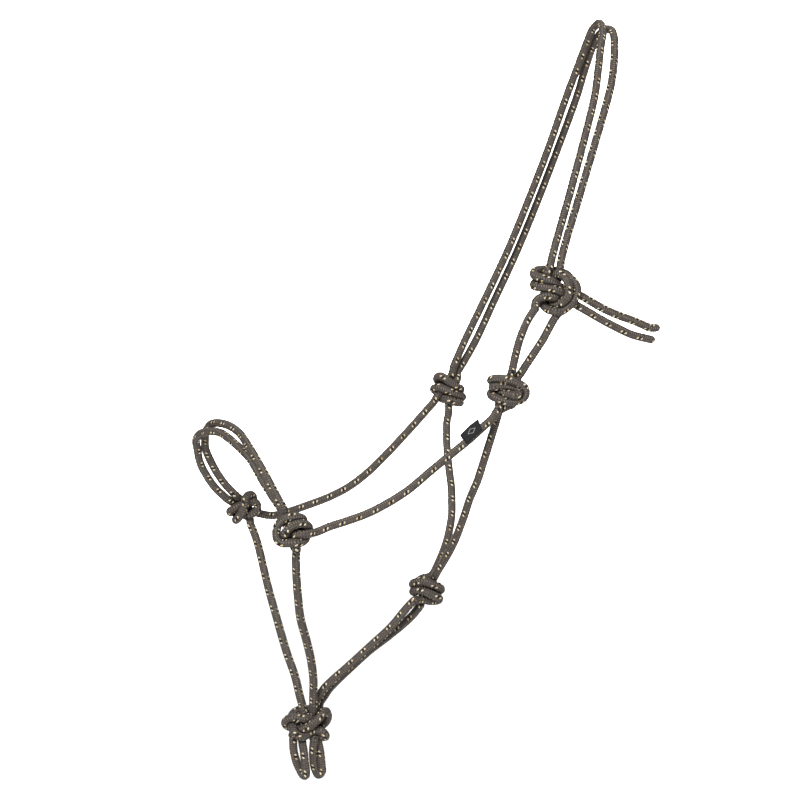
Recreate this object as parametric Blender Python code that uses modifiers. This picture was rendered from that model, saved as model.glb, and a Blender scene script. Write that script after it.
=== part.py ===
"""A rope halter for a horse: one 6.5 mm braided rope tied into seven knots.

Frame, in metres: the origin is the point on the horse's poll that the crown lies over. +X runs back
towards the neck, +Y towards the horse's off (right) side and +Z up. The nose points along -X.
The rope is modelled as the stretches between its knots, each a solid of its own, and each knot is a
turned solid with the rope's wraps around it. A knot that something swings in is turned about that
joint's axis, so the stretches that move keep their gap to it.
"""

import math
from collections import namedtuple

import bpy
import numpy as np
from mathutils import Matrix, Vector

MM = 0.001

# Driving dimensions
ROPE_DIAMETER = 6.5 * MM
GAP = 0.35 * MM  # between a rope's end and the knot that it goes into
RING_SPACING = 16.0 * MM  # along a rope between knots
LOOP_RING_SPACING = 3.2 * MM  # along a tightly bent loop
ROUTE_STEP = 0.4 * MM  # fineness of the curve that a rope's points are read from
ROPE_BEVEL_RESOLUTION = 2
WRAP_GROOVE = 1.5 * MM  # how deep the groove between two wraps of a knot is
PROFILE_POINTS_PER_WRAP = 5
KNOT_STEPS = 20
LABEL_LENGTH = 18.0 * MM
LABEL_DEPTH = 8.6 * MM  # from the fold to the sewn edges
LABEL_THICKNESS = 0.6 * MM
LABEL_CLEARANCE = 0.6 * MM
LABEL_OVERHANG = 3.5 * MM  # how far the fold stands off the rope's top
LABEL_PLACE = 43.0 * MM  # along the near cheek strand, from the near cheek knot's centre
KNOT_REACH = 30.0 * MM  # a strand is trimmed to a knot whose centre is nearer its end than this
RIM_POINTS = 16  # tried round a rope's end when it is trimmed

# A knot's centre in millimetres, its radius about its axis and its half width along it
Knot = namedtuple("Knot", "centre radius half_width wraps")
NEAR_NOSE = (-276, -63, -386)
OFF_NOSE = (-281, 63, -384)
NEAR_CHEEK = (-108, -80, -285)
OFF_CHEEK = (-102, 80, -291)
THROAT = (-146, 0, -445)
CROWN_TIE = (-69, -82, -211)
FIADOR = (-245, 0, -547)

KNOTS = {
    "near_nose_knot": Knot(NEAR_NOSE, 14.0, 11.0, 3),
    "off_nose_knot": Knot(OFF_NOSE, 13.0, 11.0, 3),
    "near_cheek_knot": Knot(NEAR_CHEEK, 14.5, 11.0, 3),
    "off_cheek_knot": Knot(OFF_CHEEK, 13.0, 11.0, 3),
    "throat_knot": Knot(THROAT, 12.5, 11.0, 3),
    "crown_tie_knot": Knot(CROWN_TIE, 15.5, 19.0, 5),
    "fiador_knot": Knot(FIADOR, 13.0, 20.0, 5),
}

# Joint axes: the line through the two cheek knots, the one through the two nose knots, the width of
# the fiador knot, and the line across the crown's two loose tails
CHEEK_AXIS = Vector(OFF_CHEEK) - Vector(NEAR_CHEEK)
NOSE_AXIS = Vector(OFF_NOSE) - Vector(NEAR_NOSE)
FIADOR_AXIS = Vector((1, 0, 0))
TAIL_AXIS = Vector((0.34, 0, 0.94))
KNOT_AXES = {
    "near_nose_knot": NOSE_AXIS,
    "off_nose_knot": NOSE_AXIS,
    "near_cheek_knot": CHEEK_AXIS,
    "off_cheek_knot": CHEEK_AXIS,
    "throat_knot": Vector((0, 1, 0)),
    "crown_tie_knot": TAIL_AXIS,
    "fiador_knot": FIADOR_AXIS,
}

# Each stretch's route in millimetres, from one knot's centre to the next
ROUTES = {
    "front_crown_strand": [
        OFF_CHEEK, (-98, 80, -278), (-87, 79, -253), (-71.5, 76, -220.5), (-52.5, 72, -179.5),
        (-37, 65, -138), (-24, 55.5, -97.5), (-13.5, 43, -56.5), (-7.5, 33.5, -32.5), (-4.5, 25, -17),
        (-3.5, 19.5, -9.5), (-3, 12, -2), (-2, 6.5, 1.5), (-1.5, 0.5, 3), (-1, -4.5, 0.5),
        (-3, -11.5, -4.5), (-6.5, -18, -11.5), (-10, -23.5, -19.5), (-15, -31.5, -36), (-22, -40, -60),
        (-37, -52, -99), (-52, -62, -138), (-67, -72, -175), (-74, -79, -192),
    ],
    "rear_crown_strand": [
        OFF_CHEEK, (-92, 84, -280), (-76, 83.5, -253.5), (-60.5, 81.5, -220.5), (-41.5, 78, -179),
        (-26.5, 71, -138.5), (-13, 62, -97), (-2.5, 48, -56.5), (1, 37, -32.5), (3, 27.5, -16.5),
        (4, 20.5, -9), (5.5, 14.5, -4), (8, 9.5, -1.5), (5.5, -4.5, -2), (6.5, -9, -4.5),
        (5.5, -14.5, -9.5), (3.5, -20.5, -17), (0.5, -27, -27.5), (-4, -33.5, -43.5),
        (-10, -39, -59.5), (-27, -51.5, -99), (-43, -61, -138), (-59, -72, -175), (-65, -78, -192),
    ],
    "front_tie_strand": [
        (-80, -84, -208), (-85, -84, -218), (-93.5, -84, -230.5), (-99.5, -83, -245),
        (-103.5, -82, -261), NEAR_CHEEK,
    ],
    "rear_tie_strand": [
        (-62, -84, -214), (-65, -84, -221), (-72, -84, -230), (-81, -83, -246), (-91, -81.5, -261),
        (-101.5, -76.5, -279),
    ],
    "near_cheek_strand": [
        NEAR_CHEEK, (-120, -82.5, -303), (-123.5, -82, -307), (-131, -80.5, -314),
        (-138.5, -80, -320.5), (-154.5, -78.5, -333), (-170, -77.5, -345), (-186, -76, -358),
        (-201, -74, -367.5), (-216.5, -71.5, -375.5), (-231.5, -69, -381), (-246.5, -67, -385.5),
        (-260.5, -65.5, -390), NEAR_NOSE,
    ],
    "off_cheek_strand": [
        OFF_CHEEK, (-127, 81, -318), (-134, 81.5, -325.5), (-151, 81.5, -342.5), (-168.5, 81, -358.5),
        (-186, 79, -370.5), (-204, 76.5, -378.5), (-222, 73.5, -384), (-240, 69, -388.5),
        (-248.5, 67.5, -390.5), (-257.5, 66.5, -391), (-266, 65, -389), OFF_NOSE,
    ],
    "near_throat_strand": [
        NEAR_CHEEK, (-113, -75, -299.5), (-114.5, -72.5, -307.5), (-118, -68.5, -323),
        (-121, -62.5, -339), (-123.5, -55, -355), (-127, -46, -371), (-129.5, -37, -388),
        (-134, -22, -412), THROAT,
    ],
    "off_throat_strand": [
        OFF_CHEEK, (-102.5, 75, -310), (-105, 72.5, -320), (-106.5, 68.5, -330), (-108, 63, -342),
        (-109, 55, -357.5), (-109.5, 48.5, -369.5), (-111, 42.5, -381), (-114.5, 34, -396),
        (-125, 20, -417), THROAT,
    ],
    "near_chin_strand": [
        NEAR_NOSE, (-271.5, -60, -402), (-271, -57.5, -411.5), (-269, -52.5, -427.5),
        (-266, -46.5, -444), (-262, -39, -460), (-255.5, -32, -477.5), (-249.5, -24, -494.5),
        (-245, -15, -512), (-243.5, -9.5, -524.5), (-243, -7.5, -533.5),
    ],
    "off_chin_strand": [
        OFF_NOSE, (-277.5, 61, -392), (-274, 59, -400), (-271, 57, -409.5), (-268.5, 55, -420.5),
        (-264.5, 46.5, -446), (-260, 36, -471), (-255.5, 26, -494.5), (-251.5, 15.5, -512.5),
        (-249.5, 8.5, -527.5), (-248, 5.5, -535.5),
    ],
    "front_jaw_strand": [
        (-240, -4, -545), (-239, -1.5, -531.5), (-235, -3, -524), (-228, -3.5, -516.5),
        (-212, -4, -503.5), (-195.5, -4.5, -489.5), (-178.5, -4, -475.5), (-166, -3.5, -462),
        (-158.5, -4, -454.5),
    ],
    "rear_jaw_strand": [
        (-233, 4, -548), (-234, 6.5, -536), (-230, 6, -529), (-224, 5.5, -521), (-209, 5, -507.5),
        (-192.5, 5, -494), (-176, 4.5, -482.5), (-160.5, 4, -470.5), (-153, 3.5, -462.5),
        (-148, 3.5, -456),
    ],
    "front_noseband_strand": [
        OFF_NOSE, (-288.5, 64, -381), (-295, 63, -375), (-304, 61.5, -366.5), (-311.5, 60, -356),
        (-317, 57.5, -346), (-320.5, 52, -335.5), (-323, 46.5, -327.5), (-322.5, 37, -321.5),
        (-319.5, 29.5, -319.5), (-318, 21, -318), (-312.5, 10, -318.5), (-308.5, -4, -322.5),
        (-304, -17.5, -328.5), (-299, -31, -336.5), (-293.5, -44.5, -351), (-286, -52, -365.5),
        (-282, -54, -372), (-279.5, -54.5, -378.5),
    ],
    "rear_noseband_strand": [
        OFF_NOSE, (-283.5, 61, -377), (-289.5, 60.5, -371), (-298, 60, -361.5), (-306, 58, -349.5),
        (-313.5, 52.5, -335.5), (-315.5, 47, -327), (-316.5, 41, -320), (-315.5, 31.5, -314),
        (-313.5, 24, -312), (-311, 16.5, -311.5), (-306.5, 3, -313), (-302, -10.5, -318),
        (-299, -32, -329), (-294, -47, -343), (-291, -52.5, -350.5), (-285, -59, -364.5),
        (-281.5, -61, -371.5), (-279, -61.5, -378.5),
    ],
    "upper_crown_tail": [
        (-60, -84, -206), (-43, -86, -216), (-27, -88, -224.5), (-7, -90, -232), (5.5, -90, -237),
        (14, -90, -237),
    ],
    "lower_crown_tail": [
        (-63, -84, -214), (-46, -86, -223.5), (-31, -88, -232), (-11.5, -90, -241.5), (1, -90, -245),
        (10, -90, -247),
    ],
    "front_lead_loop": [
        (-257, 1, -553.5), (-257, 1, -561.5), (-256.5, 1.5, -569.5), (-255, 2, -576),
        (-253, 2.5, -582), (-251, 2.5, -586), (-249.5, 2, -589), (-248, 0.5, -590.5),
        (-247.5, -1.5, -589.5), (-247.5, -2.5, -587), (-248, -3, -583.5), (-248.5, -2, -577.5),
        (-249, -1.5, -571), (-250, -1, -564.5), (-250.5, -1, -559), (-250.5, -1, -553.5),
    ],
    "rear_lead_loop": [
        (-240.5, -2.5, -553.5), (-241, -2.5, -561.5), (-241.5, -1.5, -570), (-241, -0.5, -577.5),
        (-240, 0.5, -583), (-238.5, 1, -587), (-237.5, 1, -589.5), (-236, 0, -590.5), (-235, -1, -589),
        (-234, -1.5, -586.5), (-234.5, -1.5, -582.5), (-234.5, -0.5, -577.5), (-235, 1, -571),
        (-236, 2.5, -564), (-237, 3, -554.5),
    ],
}

# The body each piece belongs to, and the point on its joint's axis that it hangs from
BODIES = {
    "crownpiece": (
        (0, 0, 0),
        ["front_crown_strand", "rear_crown_strand", "front_tie_strand", "rear_tie_strand",
         "crown_tie_knot", "near_cheek_knot", "off_cheek_knot"],
    ),
    "face_frame": (
        NEAR_CHEEK,
        ["near_cheek_strand", "off_cheek_strand", "near_throat_strand", "off_throat_strand",
         "near_chin_strand", "off_chin_strand", "front_jaw_strand", "rear_jaw_strand",
         "near_nose_knot", "off_nose_knot", "throat_knot", "fiador_knot", "sewn_label"],
    ),
    "noseband": (NEAR_NOSE, ["front_noseband_strand", "rear_noseband_strand"]),
    "front_loop": (FIADOR, ["front_lead_loop"]),
    "rear_loop": (FIADOR, ["rear_lead_loop"]),
    "upper_tail": (CROWN_TIE, ["upper_crown_tail"]),
    "lower_tail": (CROWN_TIE, ["lower_crown_tail"]),
}

# The label's fold points this way from the near cheek strand, forward and up
LABEL_FOLD = Vector((-17, 0, 23))
# One side of the label from where it leaves the rope's flank up to its fold: how far out it is, as a
# share of the flank's distance, and how high, in millimetres above the rope's centre
LABEL_SHOULDER = [(1.0, 1.2), (0.86, 2.8), (0.48, 4.9), (0.14, 6.5)]


def clear_scene():
    for existing in list(bpy.data.objects):
        bpy.data.objects.remove(existing, do_unlink=True)


def new_collection(name):
    collection = bpy.data.collections.new(name)
    bpy.context.scene.collection.children.link(collection)
    return collection


def new_material(name, colour, roughness):
    material = bpy.data.materials.new(name)
    material.use_nodes = True
    shader = material.node_tree.nodes["Principled BSDF"]
    shader.inputs["Base Color"].default_value = (*colour, 1.0)
    shader.inputs["Roughness"].default_value = roughness
    shader.inputs["Metallic"].default_value = 0.0
    material.diffuse_color = (*colour, 1.0)
    return material


def smooth_route(points):
    """Points every ROUTE_STEP or less along a Catmull-Rom curve through the given ones, in metres."""
    p = np.array(points, dtype=float) * MM
    p = np.vstack([2 * p[0] - p[1], p, 2 * p[-1] - p[-2]])
    curve = []
    for a, b, c, d in zip(p[:-3], p[1:-2], p[2:-1], p[3:]):
        steps = max(2, math.ceil(np.linalg.norm(c - b) / ROUTE_STEP))
        t = np.linspace(0, 1, steps, endpoint=False)[:, None]
        curve.append(
            b + 0.5 * t * ((c - a) + t * ((2 * a - 5 * b + 4 * c - d) + t * (3 * (b - c) + d - a)))
        )
    return np.vstack([*curve, p[-2:-1]])


def outside_knot(point, along, knot_name):
    """True where a rope cut square at point keeps its gap to the ellipsoid that holds the knot."""
    knot = KNOTS[knot_name]
    axis = np.array(KNOT_AXES[knot_name].normalized())
    side = np.cross(along, axis)
    if np.linalg.norm(side) < 1e-6:
        side = np.cross(along, (1, 0, 0))
    side = side / np.linalg.norm(side)
    other = np.cross(along, side)
    for turn in np.linspace(0, 2 * math.pi, RIM_POINTS, endpoint=False):
        rim = point + ROPE_DIAMETER / 2 * (side * math.cos(turn) + other * math.sin(turn))
        offset = rim - np.array(knot.centre) * MM
        axial = offset @ axis
        radial = math.sqrt(max(offset @ offset - axial**2, 0))
        reach = (radial / (knot.radius * MM + GAP)) ** 2 + (axial / (knot.half_width * MM + GAP)) ** 2
        if reach < 1:
            return False
    return True


def trimmed_route(points):
    """The longest run of the route that is clear of every knot."""
    curve = smooth_route(points)
    along = np.gradient(curve, axis=0)
    along = along / np.linalg.norm(along, axis=1)[:, None]
    near_ends = [
        name
        for name, knot in KNOTS.items()
        if min(np.linalg.norm(curve[end] - np.array(knot.centre) * MM) for end in (0, -1)) < KNOT_REACH
    ]
    clear = [all(outside_knot(p, t, name) for name in near_ends) for p, t in zip(curve, along)]
    runs, start = [], None
    for i, is_clear in enumerate([*clear, False]):
        if is_clear and start is None:
            start = i
        if not is_clear and start is not None:
            runs.append((i - start, start, i))
            start = None
    _, first, last = max(runs)
    return curve[first:last]


def evenly_spaced(curve, spacing):
    """Points at most spacing apart along the curve, with its own two ends."""
    lengths = np.concatenate([[0], np.cumsum(np.linalg.norm(np.diff(curve, axis=0), axis=1))])
    count = max(3, math.ceil(lengths[-1] / spacing) + 1)
    stations = np.linspace(0, lengths[-1], count)
    return np.column_stack([np.interp(stations, lengths, curve[:, k]) for k in range(3)])


def rope_stretch(name, points, spacing, material, collection):
    """A round rope along a route, with flat ends."""
    data = bpy.data.curves.new(name, "CURVE")
    data.dimensions = "3D"
    data.bevel_depth = ROPE_DIAMETER / 2
    data.bevel_resolution = ROPE_BEVEL_RESOLUTION
    data.use_fill_caps = True
    data.render_resolution_u = 0
    ring_centres = evenly_spaced(trimmed_route(points), spacing)
    spline = data.splines.new("POLY")
    spline.points.add(len(ring_centres) - 1)
    for ring, centre in zip(spline.points, ring_centres):
        ring.co = (*centre, 1)
    data.materials.append(material)
    piece = bpy.data.objects.new(name, data)
    collection.objects.link(piece)
    return piece


def knot_profile(knot):
    """Half the knot's outline, from its top pole to its bottom one, with a bulge for each wrap."""
    count = knot.wraps * PROFILE_POINTS_PER_WRAP
    profile = []
    for i in range(count + 1):
        turn = math.pi * i / count
        radius = knot.radius * math.sin(turn) * MM
        depth = WRAP_GROOVE * math.sin(turn) * (0.5 + 0.5 * math.cos(2 * math.pi * knot.wraps * i / count))
        on_axis = i in (0, count)
        profile.append((0.0 if on_axis else radius - depth, 0.0, knot.half_width * math.cos(turn) * MM))
    return profile


def turned_knot(name, material, collection):
    """The solid of a tightened knot, turned about its axis by a Screw modifier."""
    knot = KNOTS[name]
    profile = knot_profile(knot)
    mesh = bpy.data.meshes.new(name)
    mesh.from_pydata(profile, [(i, i + 1) for i in range(len(profile) - 1)], [])
    mesh.materials.append(material)
    piece = bpy.data.objects.new(name, mesh)
    collection.objects.link(piece)
    screw = piece.modifiers.new("turned", "SCREW")
    screw.axis = "Z"
    screw.angle = 2 * math.pi
    screw.steps = KNOT_STEPS
    screw.render_steps = KNOT_STEPS
    screw.use_merge_vertices = True
    screw.merge_threshold = 0.01 * MM
    screw.use_smooth_shade = True
    piece.rotation_mode = "QUATERNION"
    piece.rotation_quaternion = Vector((0, 0, 1)).rotation_difference(KNOT_AXES[name].normalized())
    piece.location = Vector(knot.centre) * MM
    return piece


def sewn_label(material, collection):
    """A woven label folded over the near cheek strand and sewn through it: a sheet with thickness."""
    reach = ROPE_DIAMETER / 2 + LABEL_CLEARANCE
    lower_edge = reach + LABEL_OVERHANG - LABEL_DEPTH
    one_side = [(reach, lower_edge)] + [(reach * share, up * MM) for share, up in LABEL_SHOULDER]
    section = one_side + [(-across, up) for across, up in reversed(one_side)]
    mesh = bpy.data.meshes.new("sewn_label")
    half = LABEL_LENGTH / 2
    vertices = [(across, end, up) for end in (-half, half) for across, up in section]
    count = len(section)
    faces = [(i, i + 1, count + i + 1, count + i) for i in range(count - 1)]
    mesh.from_pydata(vertices, [], faces)
    mesh.materials.append(material)
    piece = bpy.data.objects.new("sewn_label", mesh)
    collection.objects.link(piece)
    thickness = piece.modifiers.new("thickness", "SOLIDIFY")
    thickness.thickness = LABEL_THICKNESS
    thickness.offset = -1.0
    curve = smooth_route(ROUTES["near_cheek_strand"])
    lengths = np.cumsum(np.linalg.norm(np.diff(curve, axis=0), axis=1))
    here = int(np.searchsorted(lengths, LABEL_PLACE))
    reach_along = int(half / ROUTE_STEP)
    along = Vector(curve[here + reach_along] - curve[here - reach_along]).normalized()
    fold = (LABEL_FOLD - LABEL_FOLD.dot(along) * along).normalized()
    across = along.cross(fold)
    turned = Matrix((across, along, fold)).transposed().to_4x4()
    piece.matrix_world = Matrix.Translation(Vector(curve[here])) @ turned
    return piece


def hang_on_bodies(pieces, collection):
    """Parents each piece to an empty on its body's joint axis, without moving it."""
    for body, (anchor, names) in BODIES.items():
        empty = bpy.data.objects.new(body + "_body", None)
        empty.location = Vector(anchor) * MM
        empty.empty_display_size = 0.01
        collection.objects.link(empty)
        for name in names:
            pieces[name].parent = empty
            pieces[name].location = pieces[name].location - empty.location


def build():
    clear_scene()
    halter = new_collection("rope_halter")
    rope = new_material("braided_rope", (0.115, 0.097, 0.081), 0.75)
    woven = new_material("woven_label", (0.012, 0.012, 0.014), 0.6)
    pieces = {}
    for name, points in ROUTES.items():
        spacing = LOOP_RING_SPACING if name.endswith("lead_loop") else RING_SPACING
        pieces[name] = rope_stretch(name, points, spacing, rope, halter)
    for name in KNOTS:
        pieces[name] = turned_knot(name, rope, halter)
    pieces["sewn_label"] = sewn_label(woven, halter)
    hang_on_bodies(pieces, halter)
    bpy.context.view_layer.update()


build()
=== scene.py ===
import math

import bpy
import numpy as np
from mathutils import Matrix, Vector
from mathutils.kdtree import KDTree


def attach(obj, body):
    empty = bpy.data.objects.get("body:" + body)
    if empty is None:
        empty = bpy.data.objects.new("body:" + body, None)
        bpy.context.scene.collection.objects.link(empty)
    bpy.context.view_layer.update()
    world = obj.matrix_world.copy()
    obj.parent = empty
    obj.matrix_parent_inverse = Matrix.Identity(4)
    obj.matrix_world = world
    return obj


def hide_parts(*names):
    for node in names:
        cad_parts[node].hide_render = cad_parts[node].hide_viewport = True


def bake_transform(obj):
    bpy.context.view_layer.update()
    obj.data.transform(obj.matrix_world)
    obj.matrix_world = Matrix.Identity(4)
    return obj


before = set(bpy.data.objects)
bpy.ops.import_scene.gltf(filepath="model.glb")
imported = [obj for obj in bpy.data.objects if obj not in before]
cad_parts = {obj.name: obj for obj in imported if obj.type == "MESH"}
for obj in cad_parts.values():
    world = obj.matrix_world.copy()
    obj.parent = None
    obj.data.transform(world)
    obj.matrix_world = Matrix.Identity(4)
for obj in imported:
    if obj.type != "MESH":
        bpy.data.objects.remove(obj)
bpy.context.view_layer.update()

MM = 0.001

# The rope: 16 yarns, half of them running each way round, crossing two over and two under.
# Lengths are in metres unless a comment says millimetres.
CROWN_DIAMETER = 6.8 * MM  # over the crowns of its yarns
KNOT_DIAMETER = 6.9 * MM  # pressed against itself in a knot, so that its strands leave no gap
BULGE_LENGTH = 6.0 * MM  # over which one becomes the other
OWN_LENGTH = 8.0 * MM  # rope this near along its own length isn't a neighbour that presses on it
MOST_SQUEEZE = 0.6
CREVICE = 1.3 * MM  # rope this near another one's surface is shaded by it
SIDES = 32
YARNS = 8  # running each way
CELL = 1.7 * MM  # along the rope, from one crossing to the next
RINGS_PER_CELL = 4
RING_STEP = CELL / RINGS_PER_CELL
YARN_RELIEF = 0.3 * MM
CHAIN_SPACING = 3.0 * MM  # between the points that a stretch's smooth line is drawn through
ROUTE_STEP = 0.4 * MM  # as in the CAD
LINE_STEP = 0.25 * MM
ANY_DIRECTION = (0.31, 0.17, 0.93)  # that the rope doesn't start along
TIP_RINGS = 9  # in the rounded end of a tail
LOWEST_DOME = 0.02  # the square of the first ring's share of the radius there

# The camera, which looks along the photograph's viewing angle
LENS = 123.75
SENSOR_WIDTH = 36.0
CAMERA_PLACE = Vector((-0.8375, -2.0573, -0.1442))
RIGHT = Vector((0.95106, -0.30902, 0.0))
LOOK = Vector((0.30826, 0.94874, -0.06976))
UP = RIGHT.cross(LOOK)

LABEL_PLACE = 42.3 * MM  # along the near cheek strand, from the knot
LABEL_HALF = 9.3 * MM  # of its width along the strand
LABEL_THICKNESS = 0.55 * MM
LABEL_COLUMNS = 37
OUTLINE_STEPS = 4  # between two points of its section
EASING_ROUNDS = 3
LABEL_FOLD = Vector((-0.62, 0.26, 0.74))  # the way that the folded edge points
# millimetres to the side of the rope's middle, and above it, from an edge up to the fold
LABEL_SECTION = [
    (3.65, -1.4), (3.6, -0.8), (3.6, 0.0), (3.5, 1.2), (3.1, 2.5),
    (2.45, 3.9), (1.6, 5.4), (0.8, 6.9), (0.0, 7.7),
]

# Knot centres, in millimetres
NEAR_NOSE = (-276, -63, -386)
OFF_NOSE = (-281, 63, -384)
NEAR_CHEEK = (-108, -80, -285)
OFF_CHEEK = (-102, 80, -291)
THROAT = (-146, 0, -445)
CROWN_TIE = (-69, -82, -211)
FIADOR = (-245, 0, -547)

# Each stretch's route in millimetres, from one knot to the next, as in the CAD
ROUTES = {
    "front_crown_strand": [
        OFF_CHEEK, (-98, 80, -278), (-87, 79, -253), (-71.5, 76, -220.5), (-52.5, 72, -179.5),
        (-37, 65, -138), (-24, 55.5, -97.5), (-13.5, 43, -56.5), (-7.5, 33.5, -32.5), (-4.5, 25, -17),
        (-3.5, 19.5, -9.5), (-3, 12, -2), (-2, 6.5, 1.5), (-1.5, 0.5, 3), (-1, -4.5, 0.5),
        (-3, -11.5, -4.5), (-6.5, -18, -11.5), (-10, -23.5, -19.5), (-15, -31.5, -36), (-22, -40, -60),
        (-37, -52, -99), (-52, -62, -138), (-67, -72, -175), (-74, -79, -192),
    ],
    "rear_crown_strand": [
        OFF_CHEEK, (-92, 84, -280), (-76, 83.5, -253.5), (-60.5, 81.5, -220.5), (-41.5, 78, -179),
        (-26.5, 71, -138.5), (-13, 62, -97), (-2.5, 48, -56.5), (1, 37, -32.5), (3, 27.5, -16.5),
        (4, 20.5, -9), (5.5, 14.5, -4), (8, 9.5, -1.5), (5.5, -4.5, -2), (6.5, -9, -4.5),
        (5.5, -14.5, -9.5), (3.5, -20.5, -17), (0.5, -27, -27.5), (-4, -33.5, -43.5),
        (-10, -39, -59.5), (-27, -51.5, -99), (-43, -61, -138), (-59, -72, -175), (-65, -78, -192),
    ],
    "front_tie_strand": [
        (-80, -84, -208), (-85, -84, -218), (-93.5, -84, -230.5), (-99.5, -83, -245),
        (-103.5, -82, -261), NEAR_CHEEK,
    ],
    "rear_tie_strand": [
        (-62, -84, -214), (-65, -84, -221), (-72, -84, -230), (-81, -83, -246), (-91, -81.5, -261),
        (-101.5, -76.5, -279),
    ],
    "near_cheek_strand": [
        NEAR_CHEEK, (-120, -82.5, -303), (-123.5, -82, -307), (-131, -80.5, -314),
        (-138.5, -80, -320.5), (-154.5, -78.5, -333), (-170, -77.5, -345), (-186, -76, -358),
        (-201, -74, -367.5), (-216.5, -71.5, -375.5), (-231.5, -69, -381), (-246.5, -67, -385.5),
        (-260.5, -65.5, -390), NEAR_NOSE,
    ],
    "off_cheek_strand": [
        OFF_CHEEK, (-127, 81, -318), (-134, 81.5, -325.5), (-151, 81.5, -342.5), (-168.5, 81, -358.5),
        (-186, 79, -370.5), (-204, 76.5, -378.5), (-222, 73.5, -384), (-240, 69, -388.5),
        (-248.5, 67.5, -390.5), (-257.5, 66.5, -391), (-266, 65, -389), OFF_NOSE,
    ],
    "near_throat_strand": [
        NEAR_CHEEK, (-113, -75, -299.5), (-114.5, -72.5, -307.5), (-118, -68.5, -323),
        (-121, -62.5, -339), (-123.5, -55, -355), (-127, -46, -371), (-129.5, -37, -388),
        (-134, -22, -412), THROAT,
    ],
    "off_throat_strand": [
        OFF_CHEEK, (-102.5, 75, -310), (-105, 72.5, -320), (-106.5, 68.5, -330), (-108, 63, -342),
        (-109, 55, -357.5), (-109.5, 48.5, -369.5), (-111, 42.5, -381), (-114.5, 34, -396),
        (-125, 20, -417), THROAT,
    ],
    "near_chin_strand": [
        NEAR_NOSE, (-271.5, -60, -402), (-271, -57.5, -411.5), (-269, -52.5, -427.5),
        (-266, -46.5, -444), (-262, -39, -460), (-255.5, -32, -477.5), (-249.5, -24, -494.5),
        (-245, -15, -512), (-243.5, -9.5, -524.5), (-243, -7.5, -533.5),
    ],
    "off_chin_strand": [
        OFF_NOSE, (-277.5, 61, -392), (-274, 59, -400), (-271, 57, -409.5), (-268.5, 55, -420.5),
        (-264.5, 46.5, -446), (-260, 36, -471), (-255.5, 26, -494.5), (-251.5, 15.5, -512.5),
        (-249.5, 8.5, -527.5), (-248, 5.5, -535.5),
    ],
    "front_jaw_strand": [
        (-240, -4, -545), (-239, -1.5, -531.5), (-235, -3, -524), (-228, -3.5, -516.5),
        (-212, -4, -503.5), (-195.5, -4.5, -489.5), (-178.5, -4, -475.5), (-166, -3.5, -462),
        (-158.5, -4, -454.5),
    ],
    "rear_jaw_strand": [
        (-233, 4, -548), (-234, 6.5, -536), (-230, 6, -529), (-224, 5.5, -521), (-209, 5, -507.5),
        (-192.5, 5, -494), (-176, 4.5, -482.5), (-160.5, 4, -470.5), (-153, 3.5, -462.5),
        (-148, 3.5, -456),
    ],
    "front_noseband_strand": [
        OFF_NOSE, (-288.5, 64, -381), (-295, 63, -375), (-304, 61.5, -366.5), (-311.5, 60, -356),
        (-317, 57.5, -346), (-320.5, 52, -335.5), (-323, 46.5, -327.5), (-322.5, 37, -321.5),
        (-319.5, 29.5, -319.5), (-318, 21, -318), (-312.5, 10, -318.5), (-308.5, -4, -322.5),
        (-304, -17.5, -328.5), (-299, -31, -336.5), (-293.5, -44.5, -351), (-286, -52, -365.5),
        (-282, -54, -372), (-279.5, -54.5, -378.5),
    ],
    "rear_noseband_strand": [
        OFF_NOSE, (-283.5, 61, -377), (-289.5, 60.5, -371), (-298, 60, -361.5), (-306, 58, -349.5),
        (-313.5, 52.5, -335.5), (-315.5, 47, -327), (-316.5, 41, -320), (-315.5, 31.5, -314),
        (-313.5, 24, -312), (-311, 16.5, -311.5), (-306.5, 3, -313), (-302, -10.5, -318),
        (-299, -32, -329), (-294, -47, -343), (-291, -52.5, -350.5), (-285, -59, -364.5),
        (-281.5, -61, -371.5), (-279, -61.5, -378.5),
    ],
    "upper_crown_tail": [
        (-60, -84, -206), (-43, -86, -216), (-27, -88, -224.5), (-7, -90, -232), (5.5, -90, -237),
        (14, -90, -237),
    ],
    "lower_crown_tail": [
        (-63, -84, -214), (-46, -86, -223.5), (-31, -88, -232), (-11.5, -90, -241.5), (1, -90, -245),
        (10, -90, -247),
    ],
    "front_lead_loop": [
        (-257, 1, -553.5), (-257, 1, -561.5), (-256.5, 1.5, -569.5), (-255, 2, -576),
        (-253, 2.5, -582), (-251, 2.5, -586), (-249.5, 2, -589), (-248, 0.5, -590.5),
        (-247.5, -1.5, -589.5), (-247.5, -2.5, -587), (-248, -3, -583.5), (-248.5, -2, -577.5),
        (-249, -1.5, -571), (-250, -1, -564.5), (-250.5, -1, -559), (-250.5, -1, -553.5),
    ],
    "rear_lead_loop": [
        (-240.5, -2.5, -553.5), (-241, -2.5, -561.5), (-241.5, -1.5, -570), (-241, -0.5, -577.5),
        (-240, 0.5, -583), (-238.5, 1, -587), (-237.5, 1, -589.5), (-236, 0, -590.5), (-235, -1, -589),
        (-234, -1.5, -586.5), (-234.5, -1.5, -582.5), (-234.5, -0.5, -577.5), (-235, 1, -571),
        (-236, 2.5, -564), (-237, 3, -554.5),
    ],
}

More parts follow.
